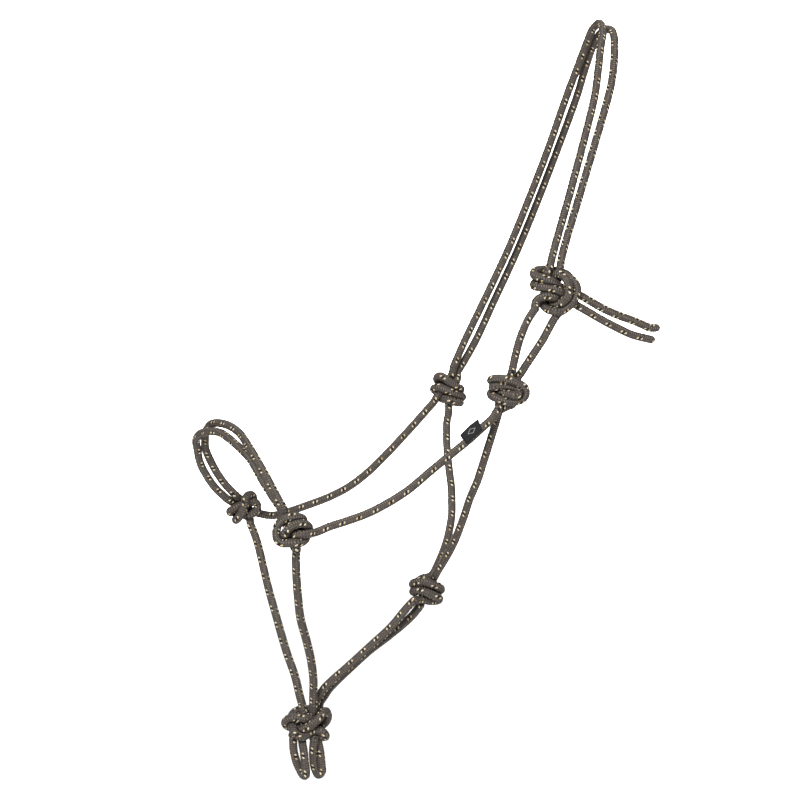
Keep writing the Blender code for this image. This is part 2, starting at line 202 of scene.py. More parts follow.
# The ropes through each knot: the stretch each comes from, which of its ends, how far from the knot's
# centre the knot begins there, the same for the stretch it goes to, and its line in millimetres from
# the knot's centre. The lines were picked over the picture, and then spread apart by a separate
# script. Where two ropes still overlap, press_together flattens them.
KNOTS = {
    "near_nose_knot": [
        ("rear_noseband_strand", 1, 15, "near_cheek_strand", 1, 19, [
            (-5, 2.4, 12.2), (-4.5, 3.4, 9.1), (-4.2, 4.4, 6.1), (-3.3, 5.3, 3.1), (-1.2, 6, 0.9),
            (2, 6.2, 0.2), (5.1, 5.7, 0.3), (8, 4.7, 1.2), (9.8, 2.9, 3.1), (9.7, 0.6, 5.3),
            (8.1, -1.5, 7.1), (5.5, -3.1, 8.2), (2.5, -4.1, 8.6), (-0.7, -4.4, 8.6), (-3.9, -3.9, 8.1),
            (-6.7, -2.9, 6.9), (-9, -1.7, 5), (-10.7, -0.7, 2.4), (-11.6, -0.2, -0.6), (-11.9, -0.3, -3.8),
            (-11.8, -1.3, -6.9), (-10.7, -2.9, -9.4), (-8.2, -4.4, -10.8), (-5.3, -5.7, -10.9),
            (-2.8, -7.7, -10.6), (0.2, -8.9, -10.4), (3.3, -8.4, -10.5), (6.1, -6.7, -10.5),
            (8.5, -4.7, -9.7), (10.5, -2.6, -8.4), (11.6, 0, -6.9), (11.2, 3, -5.7), (9.7, 5.7, -5),
            (7.4, 7.8, -4.7), (4.3, 8.1, -5.2), (1.7, 6.3, -5.6), (0.2, 3.5, -5.5), (-0.3, 0.3, -5.7),
            (0.2, -2.8, -5.5), (2.3, -5.2, -5.5), (5.1, -6.8, -4.9), (8.2, -7.4, -4.5), (11.4, -6.7, -4.3),
            (14.2, -5.2, -4.2), (17.1, -3.7, -3.8),
        ]),
        ("front_noseband_strand", 1, 15, "near_chin_strand", 0, 17, [
            (-4, 9.3, 10.1), (-2.2, 10.3, 7.8), (0.1, 11.2, 5.8), (2.9, 11.8, 4.4), (5.7, 11.8, 3),
            (8.4, 11.1, 1.5), (10.9, 9.7, 0.2), (13, 7.5, -0.5), (14.1, 4.6, -0.8), (14.1, 1.5, -0.5),
            (13.2, -1.3, 0.5), (11.6, -3.7, 1.9), (9.3, -5.5, 3.1), (6.5, -6.6, 3.7), (3.4, -7.2, 3.8),
            (0.3, -7.4, 3.1), (-2.5, -7.4, 1.8), (-5, -7, -0.1), (-6.4, -5.8, -2.6), (-6.6, -3.7, -4.9),
            (-5.9, -1.2, -6.6), (-5.2, 1, -8.8), (-3.6, 3.3, -10.2), (-1.1, 5, -11), (1.8, 4.2, -11.2),
            (3, 1.5, -10.8), (1.9, -1.4, -10.9), (0.8, -3.6, -12.6), (1.8, -3.9, -15.4), (3.6, -1.9, -16.6),
            (4.4, 1.1, -16.3),
        ]),
    ],
    "off_nose_knot": [
        ("front_noseband_strand", 0, 15, "off_chin_strand", 0, 14, [
            (-11.3, 1, 7), (-8.9, 2.5, 5.6), (-6.6, 4.3, 4.4), (-4.6, 6.7, 3.8), (-2.3, 8.7, 3.4),
            (0.6, 9.2, 2.4), (3.5, 8.3, 2), (6.3, 6.9, 2.5), (8.6, 5.3, 3.9), (9.7, 3.3, 6.1),
            (9.2, 1.3, 8.5), (7.6, -0.5, 10.4), (5.2, -2.5, 11), (2.8, -4.4, 10.3), (1, -6.2, 8.5),
            (0, -7.7, 5.9), (-0.7, -8.1, 2.9), (-1.5, -7.6, -0.2), (-2.5, -6.6, -3), (-3.6, -5.2, -5.6),
            (-4.6, -3.2, -7.8), (-5.3, -0.5, -9.2), (-5, 2.6, -9.3), (-3.5, 5.2, -8.5), (-1, 6.7, -7.4),
            (1.9, 7, -6.4), (4.7, 6, -7.1), (6.2, 3.6, -8.3), (6.3, 0.7, -9.5), (5.9, -1.8, -11.4),
        ]),
        ("rear_noseband_strand", 0, 15, "off_cheek_strand", 1, 17, [
            (-6.7, -1.8, 11.5), (-4.5, -0.5, 9.7), (-2.4, 1.1, 7.9), (-0.7, 2.8, 5.9), (0.1, 3.4, 3),
            (-0.9, 4.2, 0.1), (-2.7, 6, -1.7), (-5.2, 7.2, -3.1), (-8, 6.1, -3.8), (-9.4, 3.6, -2.7),
            (-8.6, 1.1, -1), (-6.6, -0.8, 0.5), (-3.9, -1.9, 1.9), (-1, -2.3, 3), (2, -2.4, 4.1),
            (5, -2.8, 5.1), (8.1, -3.5, 5.3), (10.6, -4.1, 3.7), (11.2, -4.6, 0.7), (9.8, -4.7, -2.1),
            (7.4, -4.3, -4.1), (4.8, -3, -5), (3.6, -0.3, -4.4), (4.9, 2, -2.9), (7.9, 2.7, -2.8),
            (10.9, 2.3, -3.8), (13.9, 2, -4.8),
        ]),
    ],
    "off_cheek_knot": [
        ("rear_crown_strand", 0, 16, "off_cheek_strand", 0, 18, [
            (9.7, 3.1, 9.6), (9.2, 1.3, 6.9), (7.9, -0.4, 4.5), (5.7, -0.8, 2.3), (3.2, -0.3, 0.2),
            (0.7, 0.2, -1.8), (-2, 0.4, -3.5), (-4.9, 0, -4.8), (-7.8, -0.4, -6.2), (-9.6, -0.3, -8.8),
            (-11, 0.2, -11.6),
        ]),
        ("front_crown_strand", 0, 16, "off_throat_strand", 0, 15, [
            (4.8, 0.2, 13.5), (4.2, 0.7, 10.4), (3.5, 2, 7.6), (3.3, 3.8, 4.9), (1.9, 5.7, 2.8),
            (-0.7, 7.2, 2), (-3.8, 7.4, 2.7), (-6.3, 6.4, 4.3), (-7.8, 4.5, 6.3), (-7.7, 1.9, 8.2),
            (-6.2, -0.8, 8.7), (-4.2, -3, 7.7), (-2.2, -4.6, 5.8), (-0.1, -5.7, 3.6), (2.4, -6.2, 1.6),
            (5.2, -6.2, 0.1), (8, -5.2, -0.9), (10.4, -3.3, -1.9), (11.4, -0.6, -3), (10.6, 2.1, -4.4),
            (8.4, 4.3, -5.1), (5.7, 6, -4.9), (3.1, 7.7, -4.2), (0.3, 9.2, -4), (-2.8, 9.6, -4.2),
            (-5.8, 8.4, -4.3), (-8.4, 6.7, -3.7), (-10.4, 4.5, -2.6), (-10.8, 1.7, -1.2),
            (-9.6, -1.1, -0.5), (-7.5, -3.5, -0.6), (-5, -5.2, -1.6), (-2.2, -6.4, -2.7), (0.6, -7.1, -4),
            (3.5, -7.1, -5.4), (6.3, -6.4, -6.7), (9.1, -5.1, -7.5), (11.6, -3.3, -8.2), (12.9, -0.6, -9.1),
            (12.5, 2.4, -10), (10.9, 5.2, -10.3), (8.7, 7.5, -10.1), (5.9, 8.9, -10), (2.7, 9, -9.9),
            (-0.2, 7.7, -9.5), (-2.9, 6, -9), (-4.4, 3.4, -9.6), (-4.1, 0.4, -10.5), (-3.9, -2.8, -10.1),
            (-2.9, -5.8, -10), (-0.8, -7.9, -10.8), (2.1, -8.4, -12.1), (5.2, -8.1, -12.8),
            (8.1, -7.1, -13), (9.4, -4.4, -13.5), (8.3, -1.6, -12.6), (7.1, 0.3, -10.4), (5.4, 2.7, -10.1),
            (2.8, 3.3, -11.8), (1.2, 1.1, -13.2), (0.6, -1.9, -13.9),
        ]),
    ],
    "near_cheek_knot": [
        ("rear_tie_strand", 1, 17, "near_throat_strand", 0, 17, [
            (9.6, 2.1, 11.6), (8, 3.6, 9.3), (6.4, 5.5, 7.3), (4.3, 7.6, 6.1), (1.7, 9.2, 5.6),
            (-1.4, 10, 5.6), (-4.6, 10.2, 6.1), (-7.6, 10, 6.9), (-10.2, 8.5, 7.8), (-11.7, 5.8, 8.7),
            (-11.4, 2.8, 9.5), (-9.8, 0.2, 10.2), (-7.5, -1.9, 10.4), (-4.8, -3.6, 10.1), (-1.9, -4.9, 9.5),
            (1, -5.9, 8.8), (3.9, -6.6, 7.7), (6.8, -6.8, 6.3), (9.5, -6.8, 4.7), (11.7, -6.4, 2.4),
            (12.5, -5.9, -0.6), (11.8, -5.5, -3.6), (9.6, -5.2, -5.9), (6.6, -5.2, -6.9), (3.4, -5.2, -7.3),
            (0.3, -5.1, -7.6), (-2.9, -4.8, -7.3), (-5.9, -4.1, -6.5), (-8.5, -2.6, -5.4),
            (-10.5, -0.4, -4.4), (-11.9, 2.3, -3.4), (-12.1, 5.3, -2.4), (-10.9, 8, -1.5),
            (-8.5, 9.9, -0.5), (-5.7, 11.4, -0.3), (-2.8, 12.1, -1.1), (-0.1, 11.1, -2.5), (1.7, 8.8, -3.8),
            (3.2, 6.5, -5.4), (4.6, 4.1, -6.9), (5, 1.6, -8.7), (3.1, -0.1, -10.3), (0.1, 0.4, -11.1),
            (-2, 2.2, -12.5), (-4.1, 4.1, -14),
        ]),
        ("front_tie_strand", 1, 15, "near_cheek_strand", 0, 16, [
            (2.7, 0.2, 13.1), (2.2, 2.3, 10.7), (0.7, 3.6, 8.3), (-1.8, 4, 6.4), (-4.8, 4.3, 5.1),
            (-7.6, 5.1, 3.8), (-10.5, 4.3, 3.2), (-11.7, 1.5, 3.7), (-10, -0.9, 4.4), (-6.9, -1.4, 4.7),
            (-3.7, -1.7, 4.7), (-0.6, -2.4, 4.2), (2.3, -3.1, 3.3), (5.1, -3.6, 1.8), (6.7, -5.2, -0.3),
            (5.7, -7.8, -1.8), (2.8, -8.4, -2.5), (0.3, -6.6, -2), (-1.9, -4.4, -1.6), (-4.1, -2.1, -1.3),
            (-5.2, 0.9, -1.2), (-5, 4, -1.3), (-3.2, 6.2, -0.2), (-0.4, 6, 1.1), (1.3, 3.5, 1.3),
            (1.1, 1.1, -0.6), (0.1, 1.2, -3.6), (-1.8, 2.3, -5.8), (-4.6, 2.5, -7.3), (-6.8, 1.3, -9.2),
            (-7.8, -0.6, -11.6),
        ]),
    ],
    "throat_knot": [
        ("off_throat_strand", 1, 16, "rear_jaw_strand", 1, 16, [
            (7.2, 7.2, 9.6), (4.8, 6.8, 7.6), (1.9, 7.5, 6.6), (-1, 8.6, 6), (-3.7, 9.3, 4.5),
            (-6.3, 9.1, 2.7), (-8.9, 7.8, 1.5), (-10.6, 5.3, 2), (-10.9, 2.4, 3.3), (-9.9, -0.4, 4.3),
            (-8, -2.7, 5.2), (-5.4, -4.6, 5.3), (-2.5, -5.9, 4.8), (0.4, -6.7, 3.8), (3.3, -6.9, 2.6),
            (6.2, -6.4, 1.3), (8.6, -5.2, -0.2), (10.2, -3, -1.9), (10, -0.2, -3.3), (8.4, 2.4, -3.9),
            (6.1, 4.5, -4.2), (3.3, 6, -4.9), (0.6, 6.7, -6.2), (-1.7, 6.9, -8.5), (-3.2, 6.6, -11.3),
            (-4.2, 5, -13.8),
        ]),
        ("near_throat_strand", 1, 16, "front_jaw_strand", 1, 17, [
            (4.7, -6.9, 11.4), (4.6, -4.5, 9.4), (4.2, -2.2, 7.2), (3.3, -0.3, 4.9), (1.8, 1.3, 2.7),
            (-0.1, 3, 0.8), (-2.3, 4.6, -0.6), (-4.7, 5.8, -2.3), (-7.3, 6.2, -3.9), (-10.1, 5, -4.1),
            (-11, 2.3, -3), (-9.5, -0.1, -2), (-7.1, -2.1, -2), (-4.6, -3.8, -2.7), (-1.9, -5.2, -3.8),
            (0.9, -5.9, -5), (3.7, -5.9, -6.3), (6.5, -5.2, -7.7), (8.5, -3.5, -9.3), (8.2, -1, -10.9),
            (5.9, 1, -11.6), (3, 1.8, -11.6), (-0.1, 1.6, -11), (-3, 0.8, -10), (-6.1, 0.6, -9.9),
            (-9, -0.4, -9.9), (-11.3, -2.5, -9.6),
        ]),
    ],
    "crown_tie_knot": [
        ("front_crown_strand", 1, 19, "upper_crown_tail", 0, 19, [
            (-6.4, 2.9, 17.1), (-6.8, 3.6, 14), (-6.2, 4.9, 11.1), (-5.8, 6.1, 8.1), (-6.1, 7.3, 5.1),
            (-6.9, 8, 2.1), (-7.9, 8.2, -0.9), (-8.9, 7.4, -3.9), (-9.2, 5.8, -6.7), (-8.7, 3.7, -9),
            (-7.4, 1.3, -10.8), (-5.9, -1.2, -12), (-4.4, -4.1, -12.4), (-1.9, -5.9, -12.8),
            (1.3, -5.9, -12.8), (4.2, -5.8, -11.4), (6.7, -6.3, -9.4), (8.9, -7.2, -7.3),
            (10.9, -7.9, -4.8), (12.6, -7.7, -2.1), (13.8, -7.4, 0.9), (14.4, -6.7, 4), (14.1, -5.6, 7),
            (13.2, -3.9, 9.6), (12, -1.9, 11.7), (10.9, 0.6, 13.5), (10.3, 3.4, 14.9), (10, 6.5, 15.9),
            (8.2, 8.9, 16.8), (5.3, 10, 17.6), (2.2, 10.7, 18.2), (-0.7, 11.7, 19.1), (-3.9, 12, 19.5),
            (-7.1, 11.4, 19.2), (-10.2, 10.7, 19), (-13.2, 9.7, 18.4), (-15.6, 8.2, 17), (-16.6, 5.7, 15.3),
            (-15.6, 2.9, 14.2), (-13.6, 0.5, 13.4), (-11.1, -1.3, 12.5), (-8.2, -2.3, 11.4),
            (-5.2, -2.6, 10.3), (-2.3, -2.2, 9), (0.4, -1.6, 7.3), (3.1, -0.9, 5.7), (5.8, -0.1, 4),
            (8.5, 0.3, 2.4), (11.4, 0.2, 1), (14.2, -1, -0.1), (17.1, -2.4, -0.6),
        ]),
        ("rear_crown_strand", 1, 19, "lower_crown_tail", 0, 19, [
            (4.4, 4.3, 16.8), (4.4, 5.3, 13.8), (2.8, 5.9, 11.1), (1.3, 6.5, 8.4), (0.7, 7.7, 5.5),
            (0, 9, 2.7), (-1.1, 9.8, -0.2), (-2.4, 9.3, -3.1), (-3.3, 7.6, -5.5), (-3.3, 4.9, -7.1),
            (-2.6, 1.8, -7.7), (-1.6, -1.2, -7.8), (-0.3, -4.1, -7.5), (1.5, -6.3, -6), (3.2, -8.2, -4.1),
            (4.7, -9.9, -1.8), (5.8, -10.3, 1.1), (6.2, -10.1, 4.2), (6.1, -9.4, 7.4), (5.6, -8.2, 10.3),
            (4.6, -6.6, 12.9), (3.1, -4.7, 14.9), (1.4, -2.3, 16.2), (-0.2, 0.4, 16), (-1, 3.2, 14.9),
            (-1.5, 6.4, 15.2), (-2.9, 9.1, 14.4), (-5.1, 11.2, 13.5), (-7.9, 12.1, 12.4), (-10.7, 11.5, 11),
            (-13.2, 10.1, 9.6), (-15.5, 8.3, 8.3), (-16.6, 5.6, 7), (-15.9, 2.7, 6.3), (-13.9, 0.2, 6),
            (-11.4, -1.7, 5.7), (-8.6, -3.1, 5.2), (-5.7, -4.3, 4.6), (-2.7, -5.3, 3.8), (0.3, -5.6, 2.9),
            (3.2, -5.1, 1.5), (5.6, -4.2, -0.3), (7.8, -3.2, -2.4), (10.1, -2.2, -4.4), (12.6, -2, -6.3),
            (15.2, -2.7, -8),
        ]),
        ("front_tie_strand", 0, 21, "rear_tie_strand", 0, 17, [
            (-18, -0.8, -8.7), (-17.2, 0.4, -5.8), (-15.4, -0.3, -3.2), (-13.1, -2, -1.6),
            (-10.3, -3.6, -0.8), (-7.2, -4.5, -1), (-4, -4.3, -1.7), (-1.2, -2.8, -2), (1.5, -1.1, -2.9),
            (3.8, 0.1, -4.9), (6.2, 1.6, -6.5), (8.6, 3.2, -7.9), (8.7, 5.4, -10.3), (6.5, 5.7, -12.6),
            (4, 4.1, -13.9), (1.9, 1.8, -15), (-0.1, -0.6, -16),
        ]),
    ],
    "fiador_knot": [
        ("off_chin_strand", 1, 14, "front_lead_loop", 1, 17, [
            (-3.2, 4.5, 10.3), (-3.1, 3, 7.4), (-2.9, 2.7, 4.1), (-3.1, 2.4, 0.8), (-3.2, 1.3, -2.3),
            (-2.5, 1.3, -5.5), (-2.7, 1.8, -8.7), (-4.4, 1.6, -11.5), (-5.1, 0.1, -14.4),
        ]),
        ("near_chin_strand", 1, 16, "rear_lead_loop", 0, 15, [
            (2.3, -6.3, 12.4), (2.8, -4.7, 9.6), (3.5, -2.9, 7.1), (2.8, -1.6, 4.3), (0.3, -2.2, 2.5),
            (-2.8, -3.1, 2.6), (-5.9, -2.6, 3.1), (-9, -1.7, 3.7), (-12, -0.5, 3.8), (-14.5, 1.2, 3),
            (-16.4, 3.3, 1.4), (-17.1, 5.5, -0.8), (-16.1, 7.5, -3.1), (-13.9, 9, -4.9), (-11.2, 10.3, -6),
            (-8.2, 11.5, -6.2), (-5.1, 12.3, -6.1), (-1.9, 11.8, -6.5), (0.4, 9.7, -7), (1.4, 6.7, -7.6),
            (2.5, 4.1, -9.1), (3, 1.3, -10.7), (3.4, -1.2, -12.6),
        ]),
        ("front_jaw_strand", 0, 15, "rear_lead_loop", 1, 16, [
            (6.1, -0.2, 12), (6.3, 2.3, 10.1), (5.1, 4.9, 8.8), (3.3, 7.4, 8.2), (0.8, 9.2, 7.9),
            (-2.2, 10.1, 7.6), (-5.3, 10.5, 7), (-8.2, 10.2, 5.7), (-10.4, 9.2, 3.8), (-11.5, 7.5, 1.4),
            (-11.4, 5.2, -0.8), (-12.3, 2.9, -2.6), (-13.2, 0.3, -4.1), (-13.2, -2.4, -5.9),
            (-12.1, -4.5, -7.9), (-10, -5.8, -9.7), (-7.1, -5.8, -10.9), (-4.1, -4.8, -10.8),
            (-1.5, -3.9, -9.3), (1.1, -3.6, -7.5), (4.2, -3.5, -6.9), (7.1, -4.6, -6.8), (9.2, -6.9, -7.4),
            (11.2, -8, -9.3), (12.4, -6.4, -11.6), (11.4, -3.8, -12.5), (9.3, -1.8, -11.4),
            (8.7, 1.2, -11.6),
        ]),
        ("rear_jaw_strand", 0, 15, "front_lead_loop", 0, 17, [
            (10.6, 6.2, 6.2), (9.1, 7.4, 3.7), (6.9, 8.6, 1.6), (4.4, 8.9, -0.2), (1.5, 8.2, -1.3),
            (-1.5, 7.3, -2), (-3.8, 6.9, -4.1), (-6, 5.9, -6.1), (-7.8, 3.4, -6.6), (-8, 0.3, -6.9),
            (-6.8, -2.5, -6.1), (-5, -4.8, -4.9), (-2.8, -6.7, -3.6), (-0.4, -8, -1.9), (2.1, -8.7, 0),
            (4.6, -8.8, 2), (6.9, -8.4, 4.2), (9.1, -7.3, 6.3), (11.3, -5.6, 7.8), (13.7, -3.6, 7.6),
            (15.3, -2.1, 5.3), (15.8, -1, 2.4), (15.1, 0.1, -0.5), (13.6, 1.6, -3), (11.7, 3.3, -4.9),
            (9.7, 5.2, -6.5), (7.7, 7.2, -8.1), (6.1, 9.2, -9.9), (3.8, 10.2, -11.8), (0.8, 9.7, -12.8),
            (-2.1, 8.5, -12.1), (-5.1, 7.6, -11.7), (-8.3, 7, -12), (-10.9, 5.7, -11.1), (-11.9, 2.8, -11),
        ]),
    ],
}

KNOT_CENTRES = {
    "near_nose_knot": NEAR_NOSE, "off_nose_knot": OFF_NOSE, "near_cheek_knot": NEAR_CHEEK,
    "off_cheek_knot": OFF_CHEEK, "throat_knot": THROAT, "crown_tie_knot": CROWN_TIE,
    "fiador_knot": FIADOR,
}
TAILS = {"upper_crown_tail": "upper_tail", "lower_crown_tail": "lower_tail"}
LOOPS = {"front_lead_loop": "front_loop", "rear_lead_loop": "rear_loop"}
RIDES = {
    "crownpiece": (
        "near_cheek_knot", "off_cheek_knot", "crown_tie_knot",
        "front_crown_strand", "rear_crown_strand", "front_tie_strand", "rear_tie_strand",
    ),
    "face_frame": (
        "near_nose_knot", "off_nose_knot", "throat_knot", "fiador_knot",
        "near_chin_strand", "off_chin_strand", "front_jaw_strand", "rear_jaw_strand",
    ),
}
CHEEK_STRANDS = {
    "near_cheek_strand": NEAR_CHEEK, "near_throat_strand": NEAR_CHEEK,
    "off_cheek_strand": OFF_CHEEK, "off_throat_strand": OFF_CHEEK,
}
NOSEBAND = ("front_noseband_strand", "rear_noseband_strand")


# ---- camera
def add_camera():
    data = bpy.data.cameras.new("camera")
    data.lens = LENS
    data.sensor_width = SENSOR_WIDTH
    data.clip_start = 0.05
    data.clip_end = 50.0
    camera = bpy.data.objects.new("camera", data)
    bpy.context.scene.collection.objects.link(camera)
    turned = Matrix((RIGHT, UP, -LOOK)).transposed().to_4x4()
    camera.matrix_world = Matrix.Translation(CAMERA_PLACE) @ turned
    bpy.context.scene.camera = camera


# ---- the rope's line
def smooth_route(points):
    """The CAD's own line through a stretch's points: a Catmull-Rom curve, in metres."""
    p = np.array(points, dtype=float) * MM
    p = np.vstack([2 * p[0] - p[1], p, 2 * p[-1] - p[-2]])
    curve = []
    for a, b, c, d in zip(p[:-3], p[1:-2], p[2:-1], p[3:]):
        steps = max(2, math.ceil(np.linalg.norm(c - b) / ROUTE_STEP))
        t = np.linspace(0, 1, steps, endpoint=False)[:, None]
        curve.append(
            b + 0.5 * t * ((c - a) + t * ((2 * a - 5 * b + 4 * c - d) + t * (3 * (b - c) + d - a)))
        )
    return np.vstack([*curve, p[-2:-1]])


def stations(line):
    """How far along a line each of its points is."""
    return np.concatenate([[0], np.cumsum(np.linalg.norm(np.diff(line, axis=0), axis=1))])


def at(line, lengths, wanted):
    """The points of a line at the wanted lengths along it."""
    return np.column_stack([np.interp(wanted, lengths, line[:, k]) for k in range(3)])


def spaced(line, spacing):
    """Evenly spaced points along a line."""
    lengths = stations(line)
    count = max(3, int(round(lengths[-1] / spacing)) + 1)
    return at(line, lengths, np.linspace(0, lengths[-1], count))


def through(points):
    """A fine line through unevenly spaced points: a centripetal Catmull-Rom curve.

    Also gives the number of each point on that line.
    """
    p = np.vstack([2 * points[0] - points[1], points, 2 * points[-1] - points[-2]])
    knots = np.concatenate([[0], np.cumsum(np.linalg.norm(np.diff(p, axis=0), axis=1) ** 0.5)])
    line, firsts = [], []
    for i in range(len(points) - 1):
        a, b, c, d = p[i : i + 4]
        t0, t1, t2, t3 = knots[i : i + 4]
        steps = max(2, math.ceil(np.linalg.norm(c - b) / LINE_STEP))
        t = np.linspace(t1, t2, steps, endpoint=False)[:, None]
        a1 = (t1 - t) / (t1 - t0) * a + (t - t0) / (t1 - t0) * b
        a2 = (t2 - t) / (t2 - t1) * b + (t - t1) / (t2 - t1) * c
        a3 = (t3 - t) / (t3 - t2) * c + (t - t2) / (t3 - t2) * d
        b1 = (t2 - t) / (t2 - t0) * a1 + (t - t0) / (t2 - t0) * a2
        b2 = (t3 - t) / (t3 - t1) * a2 + (t - t1) / (t3 - t1) * a3
        firsts.append(sum(len(part) for part in line))
        line.append((t2 - t) / (t2 - t1) * b1 + (t - t1) / (t2 - t1) * b2)
    firsts.append(sum(len(part) for part in line))
    return np.vstack([*line, points[-1:]]), firsts


# (stretch, end) -> (knot, millimetres from its centre to where the stretch ends)
CUTS = {}
for knot_name, strands in KNOTS.items():
    for strand in strands:
        CUTS[strand[0:2]] = (knot_name, strand[2])
        CUTS[strand[3:5]] = (knot_name, strand[5])


def stretch_line(name):
    """The part of a stretch that shows, between its knots."""
    line = smooth_route(ROUTES[name])
    keep = np.ones(len(line), bool)
    half = len(line) // 2
    for end, other_half in ((0, slice(half, None)), (1, slice(0, half))):
        if (name, end) in CUTS:
            knot, reach = CUTS[name, end]
            near = np.linalg.norm(line - np.array(KNOT_CENTRES[knot]) * MM, axis=1) < reach * MM
            near[other_half] = False
            keep &= ~near
    first, last = np.flatnonzero(keep)[[0, -1]]
    return spaced(line[first : last + 1], CHAIN_SPACING)


def chains():
    """The rope followed through stretches and knots in turn: lists of (piece, points)."""
    leaving = {}
    for knot, strands in KNOTS.items():
        for first, first_end, _, last, last_end, _, offsets in strands:
            line = (np.array(KNOT_CENTRES[knot]) + offsets) * MM
            leaving[first, first_end] = (knot, line, (last, last_end))
            leaving[last, last_end] = (knot, line[::-1], (first, first_end))
    unused = list(TAILS) + [name for name in ROUTES if name not in TAILS]
    made = []
    while unused:
        stretch, entered = unused[0], 1 if unused[0] in TAILS else 0
        chain = []
        while stretch in unused:
            unused.remove(stretch)
            line = stretch_line(stretch)
            chain.append((stretch, line if entered == 0 else line[::-1]))
            left = (stretch, 1 - entered)
            if left not in leaving:
                break
            knot, line, (stretch, entered) = leaving[left]
            chain.append((knot, line))
        made.append(chain)
    return made


def carried_frames(centres):
    """Two directions across the line at each ring, which turn no more than the line makes them.

    The method is double reflection.
    """
    tangents = np.gradient(centres, axis=0)
    tangents /= np.linalg.norm(tangents, axis=1)[:, None]
    start = np.cross(tangents[0], ANY_DIRECTION)
    normals = np.zeros_like(centres)
    normals[0] = start / np.linalg.norm(start)
    for i in range(len(centres) - 1):
        step = centres[i + 1] - centres[i]
        c1 = step @ step
        r = normals[i] - 2 / c1 * (step @ normals[i]) * step
        t = tangents[i] - 2 / c1 * (step @ tangents[i]) * step
        v = tangents[i + 1] - t
        c2 = v @ v
        normals[i + 1] = r - 2 / c2 * (v @ r) * v if c2 > 1e-18 else r
    return normals, np.cross(tangents, normals)


# ---- the rope's surface
def yarn_height(around, along):
    """0 in the grooves between yarns and 1 on their tops. around is 0 to 1, along is in cells."""
    s, t = YARNS * around + along, YARNS * around - along
    on_top = np.mod(np.floor(s) + np.floor(t), 4)
    s_over = on_top < 1.5
    across = np.where(s_over, s, t) % 1.0
    travelled = np.where(s_over, on_top + t % 1.0, on_top - 2 + s % 1.0) / 2
    crown = np.sqrt(np.clip(1 - (2 * across - 1) ** 2, 0, 1))
    return crown * (0.45 + 0.55 * np.sin(math.pi * np.clip(travelled, 0, 1)))


class Tube:
    """Vertices, faces and UVs of one run of rope."""

    def __init__(self, centres, normals, binormals, radii, first_ring):
        rings = np.arange(len(centres)) + first_ring
        turn = 2 * math.pi * np.arange(SIDES) / SIDES
        around, along = np.meshgrid((np.arange(SIDES) + 0.5) / SIDES, (rings + 0.5) / RINGS_PER_CELL)
        relief = YARN_RELIEF * (yarn_height(around, along) - 1)
        radius = radii[:, None] + relief * np.clip(radii / radii.max(), 0, 1)[:, None]
        turned = (turn + math.pi / SIDES)[None, :, None]
        offset = np.cos(turned) * normals[:, None] + np.sin(turned) * binormals[:, None]
        self.vertices = (centres[:, None] + radius[..., None] * offset).reshape(-1, 3)
        count = len(centres)
        ring, side = np.meshgrid(np.arange(count - 1), np.arange(SIDES), indexing="ij")
        following = (side + 1) % SIDES
        corners = [ring * SIDES + side, ring * SIDES + following,
                   (ring + 1) * SIDES + following, (ring + 1) * SIDES + side]
        self.quads = np.stack([c.ravel() for c in corners], axis=1)
        u = np.stack([(side + k + 0.5) / SIDES for k in (0, 1, 1, 0)], axis=-1)
        row = ring + first_ring % (YARNS * RINGS_PER_CELL) + 0.5
        v = np.stack([(row + k) / RINGS_PER_CELL for k in (0, 0, 1, 1)], axis=-1)
        self.uvs = np.stack([u, v], axis=-1).reshape(-1, 2)
        self.ends = [list(range(SIDES))[::-1], list(range((count - 1) * SIDES, count * SIDES))]
        # painted crevice shade on each vertex, set by press_together
        self.crevice_shade = np.zeros(count * SIDES)


def press_together(tubes, lines):
    """Flattens each rope of a knot where another one lies against it, and notes how near its neighbours
    are, for painted crevice shade.
    """
    centres = np.vstack(lines)
    owners = np.repeat(np.arange(len(lines)), [len(line) for line in lines])
    places = np.concatenate([np.arange(len(line)) for line in lines])
    tree = KDTree(len(centres))
    for i, centre in enumerate(centres):
        tree.insert(Vector(centre), i)
    tree.balance()
    apart = int(OWN_LENGTH / RING_STEP)
    for k, (tube, line) in enumerate(zip(tubes, lines)):
        rows = np.repeat(np.arange(len(line)), SIDES)
        for i, vertex in enumerate(tube.vertices):
            own = line[rows[i]]
            arm = vertex - own
            squeeze, gap = 1.0, CREVICE
            for _, j, distance in tree.find_range(Vector(vertex), KNOT_DIAMETER / 2 + CREVICE):
                if owners[j] == k and abs(places[j] - rows[i]) < apart:
                    continue
                gap = min(gap, distance - KNOT_DIAMETER / 2)
                away = centres[j] - own
                reach = away @ arm
                if reach > 0:
                    squeeze = min(squeeze, 0.5 * (away @ away) / reach)
            if squeeze < 1.0:
                tube.vertices[i] = own + max(squeeze, MOST_SQUEEZE) * arm
            # painted crevice shade: 1 where another rope's surface touches, falling to 0 at CREVICE away
            tube.crevice_shade[i] = 1 - max(gap, 0) / CREVICE


